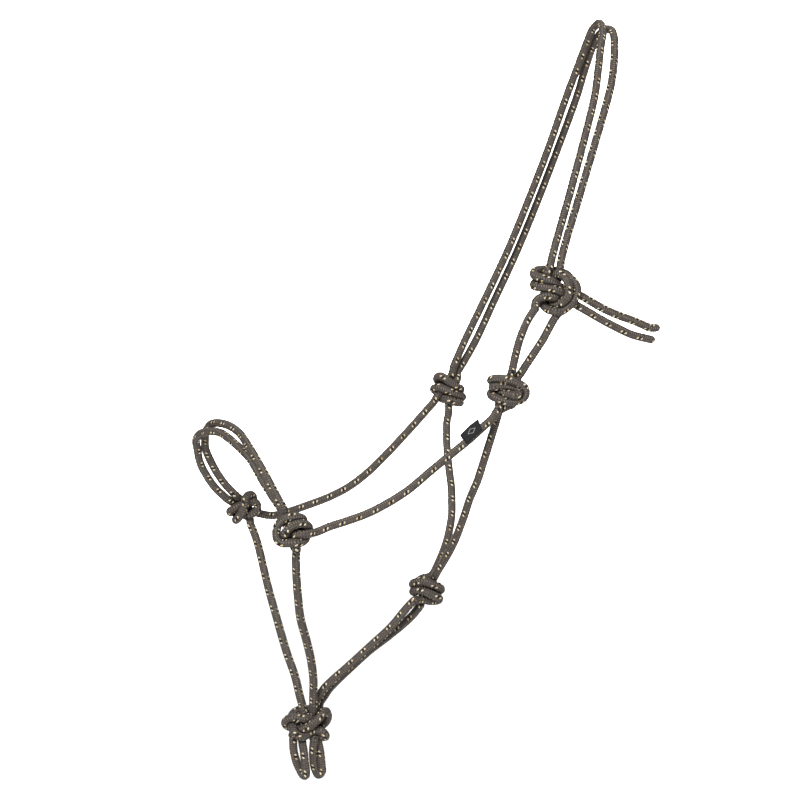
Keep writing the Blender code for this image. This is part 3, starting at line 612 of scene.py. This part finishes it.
def rope_mesh(name, tubes, material):
    """One object from runs of rope, each closed at both ends."""
    vertices, quads, ends, uvs, base = [], [], [], [], 0
    for tube in tubes:
        vertices.append(tube.vertices)
        quads.append(tube.quads + base)
        uvs.append(tube.uvs)
        ends += [[base + i for i in end] for end in tube.ends]
        base += len(tube.vertices)
    vertices, quads, uvs = np.vstack(vertices), np.vstack(quads), np.vstack(uvs)
    mesh = bpy.data.meshes.new(name)
    mesh.vertices.add(len(vertices))
    mesh.vertices.foreach_set("co", vertices.astype(np.float32).ravel())
    loops = np.concatenate([quads.ravel(), np.array(ends, int).ravel()])
    sizes = np.concatenate([np.full(len(quads), 4), np.full(len(ends), SIDES)])
    starts = np.concatenate([[0], np.cumsum(sizes)[:-1]])
    mesh.loops.add(len(loops))
    mesh.loops.foreach_set("vertex_index", loops.astype(np.int32))
    mesh.polygons.add(len(sizes))
    mesh.polygons.foreach_set("loop_start", starts.astype(np.int32))
    mesh.update(calc_edges=True)
    mesh.validate()
    layer = mesh.uv_layers.new(name="braid")
    flat = np.zeros((len(loops), 2), np.float32)
    flat[: len(uvs)] = uvs
    layer.data.foreach_set("uv", flat.ravel())
    # the painted crevice shade goes to the material as a vertex attribute
    crevice_shade = mesh.attributes.new("crevice_shade", "FLOAT", "POINT")
    crevice_shade.data.foreach_set("value", np.concatenate([tube.crevice_shade for tube in tubes]).astype(np.float32))
    smooth = np.ones(len(sizes), bool)
    smooth[len(quads):] = False
    mesh.polygons.foreach_set("use_smooth", smooth)
    mesh.materials.append(material)
    piece = bpy.data.objects.new(name, mesh)
    bpy.context.scene.collection.objects.link(piece)
    return piece


def build_rope(material):
    """Every stretch and knot as its own piece, cut from the rope where it enters and leaves a knot."""
    pieces, lines = {}, {}
    knot_tubes = {name: [] for name in KNOTS}
    knot_lines = {name: [] for name in KNOTS}
    for chain in chains():
        points = np.vstack([line for _, line in chain])
        sizes = [len(line) for _, line in chain]
        line, firsts = through(points)
        lengths = stations(line)
        rings = int(lengths[-1] / RING_STEP)
        along = np.arange(rings + 1) * RING_STEP
        centres = at(line, lengths, along)
        normals, binormals = carried_frames(centres)
        # a knot runs from the last point of the stretch before it to the first of the one after it
        marks, position = [0], 0
        for (name, _), size in zip(chain[:-1], sizes[:-1]):
            position += size
            place = position - 1 if name in ROUTES else position
            marks.append(int(round(lengths[firsts[place]] / RING_STEP)))
        marks.append(rings)
        in_knot = np.zeros(rings + 1)
        for (name, _), first, last in zip(chain, marks[:-1], marks[1:]):
            if name in KNOTS:
                in_knot[first : last + 1] = 1
        window = int(BULGE_LENGTH / RING_STEP)
        padded = np.pad(in_knot, window, mode="edge")
        swelling = np.convolve(padded, np.ones(2 * window + 1) / (2 * window + 1), mode="valid")
        radii = (CROWN_DIAMETER + (KNOT_DIAMETER - CROWN_DIAMETER) * swelling) / 2
        dome = np.sqrt(np.clip(1 - (1 - np.arange(TIP_RINGS) / TIP_RINGS) ** 2, LOWEST_DOME, 1))
        if chain[0][0] in TAILS:
            radii[:TIP_RINGS] *= dome
        if chain[-1][0] in TAILS:
            radii[-TIP_RINGS:] *= dome[::-1]
        for (name, _), first, last in zip(chain, marks[:-1], marks[1:]):
            rows = slice(first, last + 1)
            tube = Tube(centres[rows], normals[rows], binormals[rows], radii[rows], first)
            if name in KNOTS:
                knot_tubes[name].append(tube)
                knot_lines[name].append(centres[rows])
            else:
                pieces[name] = rope_mesh(name + "_rope", [tube], material)
                lines[name] = centres[rows]
    for name, tubes in knot_tubes.items():
        press_together(tubes, knot_lines[name])
        pieces[name] = rope_mesh(name + "_ropes", tubes, material)
    return pieces, lines


# ---- materials
# The rope's colours
BROWN = (0.090, 0.067, 0.053, 1)
GREY = (0.056, 0.050, 0.045, 1)
LIGHT_FLOAT = (0.14, 0.117, 0.098, 1)
LIGHT_FIBRE = (0.13, 0.11, 0.092, 1)
STRAW = (0.60, 0.40, 0.15, 1)
PALE_STRAW = (0.86, 0.76, 0.52, 1)
BLACK = (0.006, 0.006, 0.006, 1)

# The label's colours, and its plain mark: a diamond in millimetres on the near half
LABEL_GROOVE = (0.002, 0.002, 0.0025, 1)
LABEL_THREAD = (0.007, 0.007, 0.008, 1)
LABEL_LINT = (0.03, 0.029, 0.028, 1)
LABEL_MARK = (0.15, 0.15, 0.155, 1)
THREADS_PER_MM = 4.5
MARK_PLACE = (0.8, 4.7)
MARK_HALF = (4.0, 2.2)
MARK_LINE = 0.88  # where its outline is, as a share of its half size


class Nodes:
    """Short names for the nodes of one material."""

    def __init__(self, name):
        self.material = bpy.data.materials.new(name)
        self.material.use_nodes = True
        self.tree = self.material.node_tree
        self.shader = self.tree.nodes["Principled BSDF"]

    def add(self, kind, *inputs, **settings):
        node = self.tree.nodes.new("ShaderNode" + kind)
        for key, value in settings.items():
            setattr(node, key, value)
        for socket, value in zip(node.inputs, inputs):
            self.put(socket, value)
        return node

    def put(self, socket, value):
        if isinstance(value, bpy.types.NodeSocket):
            self.tree.links.new(value, socket)
        else:
            socket.default_value = value

    def math(self, operation, *inputs):
        return self.add("Math", *inputs, operation=operation).outputs[0]

    def times(self, a, b):
        return self.math("MULTIPLY", a, b)

    def plus(self, a, b):
        return self.math("ADD", a, b)

    def minus(self, a, b):
        return self.math("SUBTRACT", a, b)

    def mix(self, factor, a, b, kind="MIX"):
        node = self.add("Mix", data_type="RGBA", blend_type=kind)
        self.put(node.inputs[0], factor)
        self.put(node.inputs[6], a)
        self.put(node.inputs[7], b)
        return node.outputs[2]

    def choose(self, switch, if_zero, if_one):
        """if_one where switch is 1, and if_zero where it is 0."""
        node = self.add("Mix", data_type="FLOAT")
        self.put(node.inputs[0], switch)
        self.put(node.inputs[2], if_zero)
        self.put(node.inputs[3], if_one)
        return node.outputs[0]

    def chance(self, x, y, z):
        """A number from 0 to 1 that belongs to a place."""
        node = self.add("TexWhiteNoise", self.vector(x, y, z), noise_dimensions="3D")
        return node.outputs["Value"]

    def vector(self, x, y, z=0.0):
        return self.add("CombineXYZ", x, y, z).outputs[0]

    def noise(self, vector, scale, detail=2.0, roughness=0.5):
        node = self.add("TexNoise", vector)
        node.inputs["Scale"].default_value = scale
        node.inputs["Detail"].default_value = detail
        node.inputs["Roughness"].default_value = roughness
        return node.outputs["Fac"]

    def ramp(self, value, low, high, to_low=0.0, to_high=1.0):
        return self.add("MapRange", value, low, high, to_low, to_high).outputs[0]

    def finish(self, colour, roughness, specular, relief, strength, depth):
        """Sets the shader's inputs and gives the finished material."""
        self.put(self.shader.inputs["Base Color"], colour)
        self.put(self.shader.inputs["Roughness"], roughness)
        self.shader.inputs["Specular IOR Level"].default_value = specular
        bump = self.add("Bump")
        bump.inputs["Strength"].default_value = strength
        bump.inputs["Distance"].default_value = depth
        self.put(bump.inputs["Height"], relief)
        self.put(self.shader.inputs["Normal"], bump.outputs[0])
        return self.material


def braid_material():
    n = Nodes("braided_rope_yarns")
    uv = n.add("UVMap", uv_map="braid").outputs[0]
    split = n.add("SeparateXYZ", uv)
    around, along = split.outputs[0], split.outputs[1]
    turns = n.times(around, float(YARNS))
    s = n.plus(turns, along)
    t = n.minus(turns, along)
    s_yarn, t_yarn = n.math("FLOOR", s), n.math("FLOOR", t)
    s_part, t_part = n.math("FRACT", s), n.math("FRACT", t)
    turn = n.math("FLOORED_MODULO", n.plus(s_yarn, t_yarn), 4.0)
    s_over = n.math("LESS_THAN", turn, 1.5)
    across = n.choose(s_over, t_part, s_part)
    from_s = n.times(n.plus(turn, t_part), 0.5)
    from_t = n.times(n.plus(n.minus(turn, 2.0), s_part), 0.5)
    travelled = n.choose(s_over, from_t, from_s)

    # height of the yarn: a round crown that dives under its neighbours at both ends
    off_middle = n.math("ABSOLUTE", n.minus(n.times(across, 2.0), 1.0))
    rise = n.minus(1.0, n.times(off_middle, off_middle))
    crown = n.math("SQRT", n.math("MAXIMUM", rise, 0.0))
    dive = n.math("SINE", n.times(travelled, math.pi))
    height = n.times(crown, n.math("MULTIPLY_ADD", dive, 0.55, 0.45))

    # each yarn is its own dye lot, and each float a little lighter or darker
    s_lane = n.math("FLOORED_MODULO", s_yarn, float(YARNS))
    t_lane = n.math("FLOORED_MODULO", t_yarn, float(YARNS))
    per_float = n.chance(s_yarn, t_yarn, 0.5)
    per_yarn = n.chance(n.choose(s_over, t_lane, s_lane), s_over, 3.5)
    drift = n.noise(n.vector(around, n.times(along, 0.09)), 1.0, 3.0)
    # fibres: fine lines along the yarn
    own_place = n.plus(s_yarn, n.times(t_yarn, 3.7))
    fibre_place = n.vector(
        n.times(across, 7.0),
        n.times(travelled, 0.9),
        n.times(own_place, 1.3),
    )
    fibres = n.noise(fibre_place, 1.0, 2.0, 0.6)

    dye = n.plus(n.times(per_yarn, 0.6), n.times(drift, 0.6))
    base = n.mix(n.ramp(dye, 0.25, 0.9), GREY, BROWN)
    base = n.mix(n.ramp(per_float, 0.0, 1.0, 0.0, 0.35), base, LIGHT_FLOAT)
    base = n.mix(n.ramp(fibres, 0.35, 0.7, 0.0, 0.3), base, LIGHT_FIBRE)

    # tracers: two pale yarns with a black one between them. The yarns above a pale one hide all
    # but the middle of each of its floats.
    def lane_is(number):
        return n.times(n.math("COMPARE", s_lane, float(number), 0.1), s_over)

    showing = n.ramp(n.times(crown, dive), 0.5, 0.66)
    pale = n.times(n.plus(lane_is(0), lane_is(2)), showing)
    straw = n.mix(n.ramp(per_float, 0.0, 0.7), STRAW, PALE_STRAW)
    colour = n.mix(lane_is(1), base, BLACK)
    colour = n.mix(pale, colour, straw)
    # painted shade in the grooves between the yarns
    shade = n.ramp(height, 0.15, 0.85, 0.08, 1.0)
    # painted shade darkens the rows of crossings, so that they show as fine ribs across the rope
    to_row = n.math("FRACT", n.plus(along, 0.25))
    row = n.math("ABSOLUTE", n.math("MULTIPLY_ADD", to_row, 2.0, -1.0))
    shade = n.times(shade, n.ramp(row, 0.35, 1.0, 1.0, 0.35))
    # and rope in the crevices of a knot gets painted shade from its neighbours
    crevice_shade = n.add("Attribute", attribute_name="crevice_shade").outputs["Fac"]
    shade = n.times(shade, n.ramp(crevice_shade, 0.1, 0.9, 1.0, 0.12))
    shade = n.add("CombineColor", shade, shade, shade).outputs[0]
    colour = n.mix(1.0, colour, shade, "MULTIPLY")
    relief = n.math("MULTIPLY_ADD", fibres, 0.35, height)
    return n.finish(colour, n.ramp(fibres, 0.3, 0.7, 0.55, 0.8), 0.25, relief, 0.55, 0.12 * MM)


# ---- bodies
def bend_beside_cheek_knot(piece, knot):
    """Bakes the piece's placement into its mesh."""
    knot = Vector(knot) * MM
    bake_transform(piece)


def place_on_bodies(pieces):
    for body, names in RIDES.items():
        for name in names:
            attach(pieces[name], body)
    for name, knot in CHEEK_STRANDS.items():
        bend_beside_cheek_knot(pieces[name], knot)
    for name in NOSEBAND:
        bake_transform(pieces[name])
    for name, body in LOOPS.items():
        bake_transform(pieces[name])
    for name, body in TAILS.items():
        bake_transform(pieces[name])
    for name, piece in pieces.items():
        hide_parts(name)


def declare_cords(lines):
    for name, line in lines.items():
        step = 3 if name in LOOPS else 6  # rings from one point of the path to the next
        path = np.vstack([line[:-1:step], line[-1:]])
        if name in TAILS:
            tie = np.array(CROWN_TIE) * MM
            if np.linalg.norm(path[0] - tie) > np.linalg.norm(path[-1] - tie):
                path = path[::-1]


# ---- the label
def label_outline():
    """Half the ribbon's section mirrored to a whole one, with finer steps and its corners eased."""
    half = [np.array(point) * MM for point in LABEL_SECTION]
    whole = np.array(half + [point * (-1, 1) for point in reversed(half[:-1])])
    steps = np.arange(OUTLINE_STEPS)[:, None] / OUTLINE_STEPS
    outline = np.vstack([a + (b - a) * steps for a, b in zip(whole, whole[1:])] + [whole[-1:]])
    for _ in range(EASING_ROUNDS):
        outline[1:-1] = 0.5 * outline[1:-1] + 0.25 * (outline[:-2] + outline[2:])
    return outline


def add_label(material):
    strand = smooth_route(ROUTES["near_cheek_strand"])
    wanted = LABEL_PLACE + np.array([-LABEL_HALF, 0.0, LABEL_HALF])
    before, centre, after = [Vector(point) for point in at(strand, stations(strand), wanted)]
    along = (after - before).normalized()
    fold = (LABEL_FOLD - LABEL_FOLD.dot(along) * along).normalized()
    across = along.cross(fold)
    outline = label_outline()
    arc = stations(outline)
    low, top = outline[:, 1].min(), outline[:, 1].max()
    vertices, uvs = [], []
    for column in range(LABEL_COLUMNS):
        part = column / (LABEL_COLUMNS - 1)
        # the fold curls a little, the edges lean along the strand, and the faces are slightly wavy
        curl = 0.04 * math.cos(math.pi * (part - 0.5) * 1.8)
        for (x, z), a in zip(outline, arc):
            lean = (3.5 - 2.2 * part) * MM * (top - z) / (top - low)
            y = (2 * part - 1) * LABEL_HALF + lean
            wave = 1 + 0.02 * math.sin(10 * part + a / (3 * MM))
            vertices.append(centre + along * y + across * (x * wave) + fold * (z + curl * max(z, 0)))
            uvs.append((y / MM, (a - arc[-1] / 2) / MM))
    rows = len(outline)
    faces = [
        (c * rows + r, c * rows + r + 1, (c + 1) * rows + r + 1, (c + 1) * rows + r)
        for c in range(LABEL_COLUMNS - 1) for r in range(rows - 1)
    ]
    mesh = bpy.data.meshes.new("sewn_label_ribbon")
    mesh.from_pydata([tuple(v) for v in vertices], [], faces)
    layer = mesh.uv_layers.new(name="weave")
    for loop in mesh.loops:
        layer.data[loop.index].uv = uvs[loop.vertex_index]
    mesh.materials.append(material)
    for polygon in mesh.polygons:
        polygon.use_smooth = True
    label = bpy.data.objects.new("sewn_label_ribbon", mesh)
    bpy.context.scene.collection.objects.link(label)
    solid = label.modifiers.new("thickness", "SOLIDIFY")
    solid.thickness = LABEL_THICKNESS
    solid.offset = 0.0
    bend_beside_cheek_knot(label, NEAR_CHEEK)
    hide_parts("sewn_label")


def label_material():
    n = Nodes("woven_label_ribbon")
    uv = n.add("UVMap", uv_map="weave").outputs[0]
    split = n.add("SeparateXYZ", uv)
    x, y = split.outputs[0], split.outputs[1]
    rib = n.math("ABSOLUTE", n.math("SINE", n.times(y, math.pi * THREADS_PER_MM)))
    # each row of threads starts half a thread beside the one before it
    row = n.math("FLOOR", n.times(y, THREADS_PER_MM))
    staggered = n.plus(x, n.times(row, 0.5 / THREADS_PER_MM))
    cross = n.math("ABSOLUTE", n.math("SINE", n.times(staggered, math.pi * THREADS_PER_MM)))
    weave = n.times(rib, n.math("MULTIPLY_ADD", cross, 0.5, 0.5))
    lint = n.noise(n.vector(n.times(x, 2.2), n.times(y, 2.2)), 1.0, 4.0, 0.65)
    colour = n.mix(n.ramp(weave, 0.1, 1.0, 0.0, 0.9), LABEL_GROOVE, LABEL_THREAD)
    colour = n.mix(n.ramp(lint, 0.55, 0.8, 0.0, 0.25), colour, LABEL_LINT)
    # a plain diamond in pale thread on the near side
    beside, down = [
        n.math("ABSOLUTE", n.times(n.minus(value, place), 1 / half))
        for value, place, half in zip((x, y), MARK_PLACE, MARK_HALF)
    ]
    edge = n.math("ABSOLUTE", n.minus(n.plus(down, beside), MARK_LINE))
    colour = n.mix(n.ramp(edge, 0.08, 0.16, 1.0, 0.0), colour, LABEL_MARK)
    return n.finish(colour, n.ramp(lint, 0.3, 0.7, 0.6, 0.78), 0.2, weave, 0.5, 0.08 * MM)


# ---- stage
FLOOR_HEIGHT = -0.66
FLOOR_HALF = 6.0
WALL_DISTANCE = 3.3  # from the origin along the view to where the floor starts to curve up
WALL_HEIGHT = 3.6
WALL_CURVE = 0.9
CURVE_STEPS = 12
BACKDROP_TARGET = (1.3, 4.0, -0.3)
HALTER_MIDDLE = (-0.16, 0.0, -0.3)
# name, place, target, size, watts and spread in degrees
LIGHTS = (
    ("key", (-1.5, -2.1, 1.3), HALTER_MIDDLE, 0.8, 140, 180),
    ("fill", (1.9, -1.7, 0.2), HALTER_MIDDLE, 1.2, 12, 180),
    ("top", (0.1, 0.3, 2.0), HALTER_MIDDLE, 1.4, 30, 180),
    ("backdrop_left", (-1.31, 1.48, 1.5), BACKDROP_TARGET, 1.0, 100, 90),
    ("backdrop_right", (1.93, 0.43, 1.5), BACKDROP_TARGET, 1.0, 100, 90),
)


def add_stage():
    """A pale floor that curves up into a backdrop behind the halter."""
    mesh = bpy.data.meshes.new("floor")
    profile = [(-FLOOR_HALF, FLOOR_HEIGHT)]
    for k in range(CURVE_STEPS + 1):
        a = math.pi / 2 * k / CURVE_STEPS
        out, up = WALL_CURVE * math.sin(a), WALL_CURVE * (1 - math.cos(a))
        profile.append((WALL_DISTANCE + out, FLOOR_HEIGHT + up))
    profile.append((WALL_DISTANCE + WALL_CURVE, FLOOR_HEIGHT + WALL_HEIGHT))
    look = Vector((LOOK.x, LOOK.y, 0)).normalized()
    side = Vector((look.y, -look.x, 0))
    vertices, faces = [], []
    for sign in (-1, 1):
        for out, up in profile:
            vertices.append(look * out + side * FLOOR_HALF * sign + Vector((0, 0, up)))
    count = len(profile)
    for i in range(count - 1):
        faces.append((i, i + 1, count + i + 1, count + i))
    mesh.from_pydata([tuple(v) for v in vertices], [], faces)
    for polygon in mesh.polygons:
        polygon.use_smooth = True
    n = Nodes("pale_floor")
    n.shader.inputs["Base Color"].default_value = (0.9, 0.9, 0.9, 1)
    n.shader.inputs["Roughness"].default_value = 0.9
    mesh.materials.append(n.material)
    floor = bpy.data.objects.new("floor", mesh)
    bpy.context.scene.collection.objects.link(floor)


def add_lights():
    for name, location, target, size, watts, spread in LIGHTS:
        data = bpy.data.lights.new(name, "AREA")
        data.shape = "RECTANGLE"
        data.size = data.size_y = size
        data.energy = watts
        data.spread = math.radians(spread)
        light = bpy.data.objects.new(name, data)
        bpy.context.scene.collection.objects.link(light)
        light.location = location
        aim = Vector(target) - Vector(location)
        light.rotation_euler = aim.to_track_quat("-Z", "Y").to_euler()
    world = bpy.data.worlds.new("studio")
    world.use_nodes = True
    background = world.node_tree.nodes["Background"]
    background.inputs["Color"].default_value = (1.0, 1.0, 1.0, 1)
    background.inputs["Strength"].default_value = 0.16
    bpy.context.scene.world = world
    bpy.context.scene.view_settings.view_transform = "Standard"


add_camera()
pieces, lines = build_rope(braid_material())
place_on_bodies(pieces)
declare_cords(lines)
add_label(label_material())
add_stage()
add_lights()
